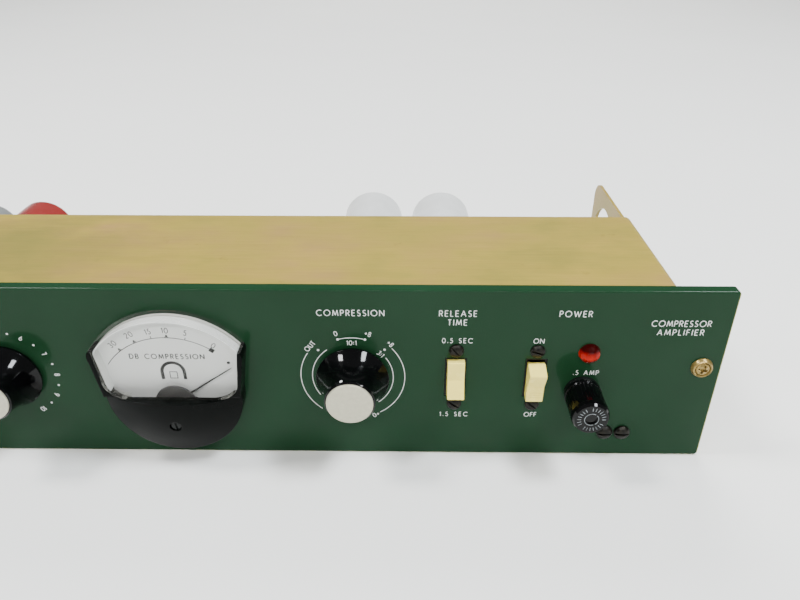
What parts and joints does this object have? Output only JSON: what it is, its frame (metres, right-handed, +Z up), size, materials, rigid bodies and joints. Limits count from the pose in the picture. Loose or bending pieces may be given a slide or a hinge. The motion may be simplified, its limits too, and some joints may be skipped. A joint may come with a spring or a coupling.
{
  "type": "rack compressor",
  "caption": "Two-unit rack compressor: green panel with meter, skirted knobs and rocker switches, folded passivated chassis with cut-out end plates and rear cans.",
  "frame": {"origin": "middle of the overall box in x and y, on the underside of the chassis and panel in z", "axes": "+X to the right seen from the front, +Y to the rear, +Z up; the front panel faces -Y"},
  "size_m": [0.4826, 0.16, 0.0881],
  "materials": {
    "green_paint": "semi-gloss enamel",
    "gold_passivate": "yellow passivated zinc plate, faintly iridescent",
    "zinc_steel": "bright zinc plate",
    "gold_screw": "yellow passivated screw",
    "black_bakelite": "polished black bakelite",
    "clear_acrylic": "clear moulded acrylic",
    "white_dial": "matt white enamel",
    "case_grey": "pale grey moulding",
    "dark_bridge": "satin dark grey",
    "magnet_iron": "ground sintered magnet",
    "soft_iron": "machined soft iron",
    "spring_bronze": "bright phosphor bronze",
    "needle_black": "black lacquered aluminium",
    "coil_former": "wound former",
    "knob_black": "polished black moulding",
    "spun_aluminium": "spun, fine concentric lines",
    "steel_shaft": "ground steel",
    "phenolic": "brown phenolic laminate",
    "pot_can": "plated steel can",
    "ivory_plastic": "ivory moulding",
    "black_moulding": "black moulding",
    "black_screw": "black oxide, worn to brown at the slots",
    "red_jewel": "moulded red jewel",
    "bulb_glass": "clear bulb",
    "fuse_glass": "clear tube with plated ends",
    "can_grey": "dull drawn aluminium",
    "red_enamel": "red enamel",
    "grey_enamel": "grey enamel",
    "lamination": "varnished laminations",
    "winding": "varnished cloth wrap",
    "bell_grey": "grey enamel",
    "rubber_black": "moulded rubber",
    "plated_brass": "plated brass",
    "components": "mixed component bodies",
    "wire_loom": "laced wires"
  },
  "bodies": {
    "root": {"front_panel": "green_paint", "chassis_shell": "gold_passivate", "bottom_cover": "gold_passivate", "side_plate_right": "gold_passivate", "side_plate_left": "gold_passivate", "chassis_fasteners": "zinc_steel", "rack_screws": "gold_screw", "rack_screw_washers": "gold_screw", "meter_case": "case_grey", "meter_window": "clear_acrylic", "meter_lower_cover": "black_bakelite", "meter_dial": "white_dial", "meter_pivot_cover": "dark_bridge", "meter_magnet": "magnet_iron", "meter_core": "soft_iron", "meter_hairspring": "spring_bronze", "meter_fixings": "zinc_steel", "compression_switch": "phenolic", "input_pot": "pot_can", "control_nuts": "zinc_steel", "switch_bodies": "black_moulding", "switch_metalwork": "zinc_steel", "panel_screws": "black_screw", "lamp_jewel": "red_jewel", "lamp_holder": "black_moulding", "lamp_bulb": "bulb_glass", "fuse_holder": "black_bakelite", "tag_bracket": "zinc_steel", "capacitor_can_a": "can_grey", "capacitor_can_b": "can_grey", "capacitor_wafers": "phenolic", "octal_sockets": "black_bakelite", "power_transformer_core": "lamination", "power_transformer_coil": "winding", "power_transformer_covers": "bell_grey", "cord_grommet": "rubber_black", "terminal_strip": "black_bakelite", "terminal_screws": "plated_brass", "rear_fasteners": "zinc_steel", "circuit_board": "phenolic", "board_components": "components", "output_transformer": "lamination", "wiring_loom": "wire_loom"},
    "input_control": {"input_knob": "knob_black", "input_knob_cap": "spun_aluminium", "input_shaft": "steel_shaft"},
    "compression_control": {"compression_knob": "knob_black", "compression_knob_cap": "spun_aluminium", "compression_shaft": "steel_shaft"},
    "release_lever": {"release_rocker": "ivory_plastic"},
    "power_lever": {"power_rocker": "ivory_plastic"},
    "meter_movement": {"meter_needle": "needle_black", "meter_coil": "coil_former"},
    "zero_adjuster": {"zero_adjust_screw": "black_bakelite"},
    "fuse_link": {"fuse": "fuse_glass"},
    "fuse_grip": {"fuse_cap": "black_bakelite"},
    "red_plug_in": {"red_transformer": "red_enamel", "red_transformer_base": "black_moulding"},
    "grey_plug_in": {"grey_transformer": "grey_enamel", "grey_transformer_base": "black_moulding"}
  },
  "joints": [
    {"name": "input_turn", "type": "hinge", "parent": "root", "child": "input_control", "pos_m": [-0.074, -0.06, 0.04405], "axis": [0, 1, 0], "range_deg": [-150, 150]},
    {"name": "compression_turn", "type": "hinge", "parent": "root", "child": "compression_control", "pos_m": [0.0801, -0.06, 0.04405], "axis": [0, 1, 0], "range_deg": [-124, 166]},
    {"name": "release_rock", "type": "hinge", "parent": "root", "child": "release_lever", "pos_m": [0.1254, -0.058, 0.04405], "axis": [1, 0, 0], "range_deg": [0, 28]},
    {"name": "power_rock", "type": "hinge", "parent": "root", "child": "power_lever", "pos_m": [0.1605, -0.058, 0.04405], "axis": [-1, 0, 0], "range_deg": [0, 28]},
    {"name": "needle_swing", "type": "hinge", "parent": "root", "child": "meter_movement", "pos_m": [0.0015, -0.06, 0.033], "axis": [0, -1, 0], "range_deg": [0, 110], "stiffness_Nm_per_rad": 0.0001},
    {"name": "zero_adjust", "type": "hinge", "parent": "root", "child": "zero_adjuster", "pos_m": [0.0015, -0.068, 0.0246], "axis": [0, -1, 0], "range_deg": [-25, 25]},
    {"name": "fuse_pull", "type": "slide", "parent": "root", "child": "fuse_link", "axis": [0, -1, 0], "range_m": [0, 0.036]},
    {"name": "fuse_cap_turn", "type": "hinge", "parent": "fuse_link", "child": "fuse_grip", "pos_m": [0.182, -0.06, 0.0372], "axis": [0, -1, 0], "range_deg": [0, 45]},
    {"name": "red_transformer_pull", "type": "slide", "parent": "root", "child": "red_plug_in", "axis": [0, 1, 0], "range_m": [0, 0.015]},
    {"name": "grey_transformer_pull", "type": "slide", "parent": "root", "child": "grey_plug_in", "axis": [0, 1, 0], "range_m": [0, 0.015]}
  ]
}
